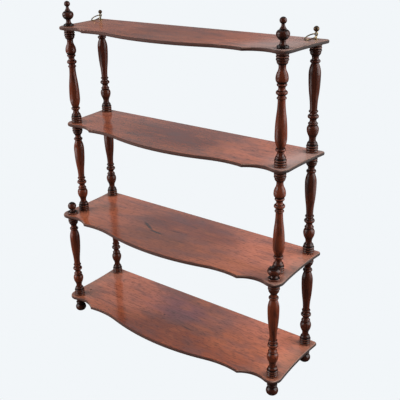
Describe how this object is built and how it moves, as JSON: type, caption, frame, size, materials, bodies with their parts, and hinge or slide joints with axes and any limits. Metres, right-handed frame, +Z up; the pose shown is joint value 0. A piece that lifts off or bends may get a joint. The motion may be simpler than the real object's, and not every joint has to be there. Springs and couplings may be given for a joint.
{
  "type": "four-tier wall shelf",
  "caption": "Tiered wall shelf with serpentine-fronted boards joined by turned spindles, with urn finials, turned knobs, ball feet and brass hanging rings.",
  "frame": {"origin": "floor level under the middle of the shelf, halfway between its back edge and its front bow", "axes": "+Z up, +X to the right as seen from the front, +Y towards the wall"},
  "size_m": [0.71, 0.24, 0.8968],
  "materials": {
    "shelf_wood": "French polish",
    "turned_wood": "French polish",
    "dowel_wood": "bare",
    "brass": "aged"
  },
  "bodies": {
    "frame": {"dowels_bottom": "dowel_wood", "dowels_lower_flush": "dowel_wood", "dowels_lower_knob": "dowel_wood", "dowels_lower_rear": "dowel_wood", "dowels_top_front": "dowel_wood", "dowels_top_rear": "dowel_wood", "dowels_upper": "dowel_wood", "finial_left": "turned_wood", "finial_right": "turned_wood", "foot_front_left": "turned_wood", "foot_front_right": "turned_wood", "foot_rear_left": "turned_wood", "foot_rear_right": "turned_wood", "hanger_eye_left": "brass", "hanger_eye_right": "brass", "knob_left": "turned_wood", "knob_right": "turned_wood", "shelf_bottom": "shelf_wood", "shelf_lower": "shelf_wood", "shelf_top": "shelf_wood", "shelf_upper": "shelf_wood", "spindle_bottom_front_left": "turned_wood", "spindle_bottom_front_right": "turned_wood", "spindle_bottom_rear_left": "turned_wood", "spindle_bottom_rear_right": "turned_wood", "spindle_middle_front_left": "turned_wood", "spindle_middle_front_right": "turned_wood", "spindle_middle_rear_left": "turned_wood", "spindle_middle_rear_right": "turned_wood", "spindle_top_front_left": "turned_wood", "spindle_top_front_right": "turned_wood", "spindle_top_rear_left": "turned_wood", "spindle_top_rear_right": "turned_wood"},
    "ring_left": {"hanger_ring_left": "brass"},
    "ring_right": {"hanger_ring_right": "brass"}
  },
  "joints": [
    {"name": "ring_left_swing", "type": "hinge", "parent": "frame", "child": "ring_left", "pos_m": [-0.33, 0.099, 0.845], "axis": [-0.9613, 0.2756, 0], "range_deg": [0, 200]},
    {"name": "ring_right_swing", "type": "hinge", "parent": "frame", "child": "ring_right", "pos_m": [0.33, 0.099, 0.845], "axis": [-0.848, 0.5299, 0], "range_deg": [0, 200]}
  ]
}
